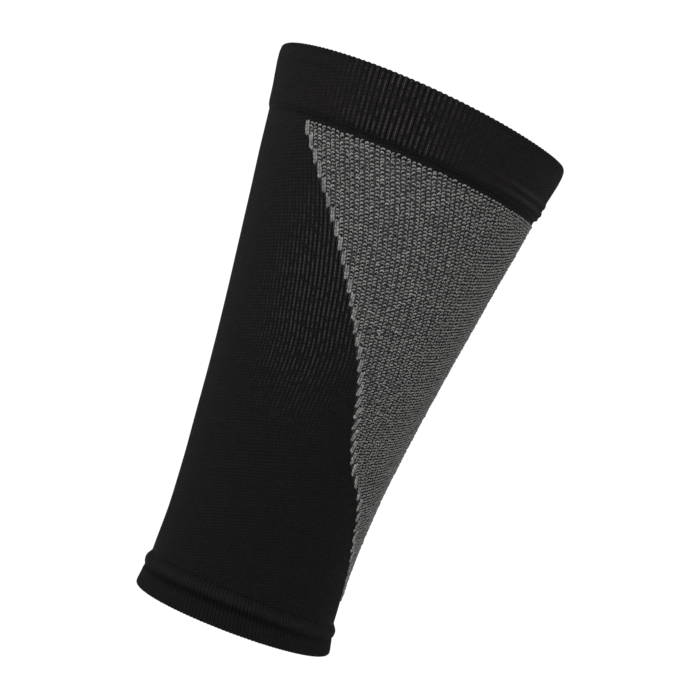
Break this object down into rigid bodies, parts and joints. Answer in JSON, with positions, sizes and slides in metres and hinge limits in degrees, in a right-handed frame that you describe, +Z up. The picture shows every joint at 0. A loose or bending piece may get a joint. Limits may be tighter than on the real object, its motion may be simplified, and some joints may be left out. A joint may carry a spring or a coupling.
{
  "type": "calf compression sleeve",
  "caption": "Open tapered knit tube that squeezes the calf, with a thick ribbed cuff at the knee end, a grey inverted triangle panel and a turned ankle hem.",
  "frame": {"origin": "on the leg's axis, halfway between the ankle end and the knee end, where the sleeve sits on the leg", "axes": "+Z up along the leg from the ankle end to the knee end, -Y towards the front that the picture shows, +X to the right in that view"},
  "size_m": [0.1292, 0.1292, 0.232],
  "materials": {
    "band_knit": "matt black one by one rib knit",
    "body_knit": "matt black fine plain knit",
    "panel_knit": "matt heathered grey stitches over black",
    "hem_knit": "matt black fine rib knit"
  },
  "bodies": {
    "root": {"top_band": "band_knit", "leg_tube": "body_knit", "calf_panel": "panel_knit", "ankle_hem": "hem_knit"}
  },
  "joints": []
}
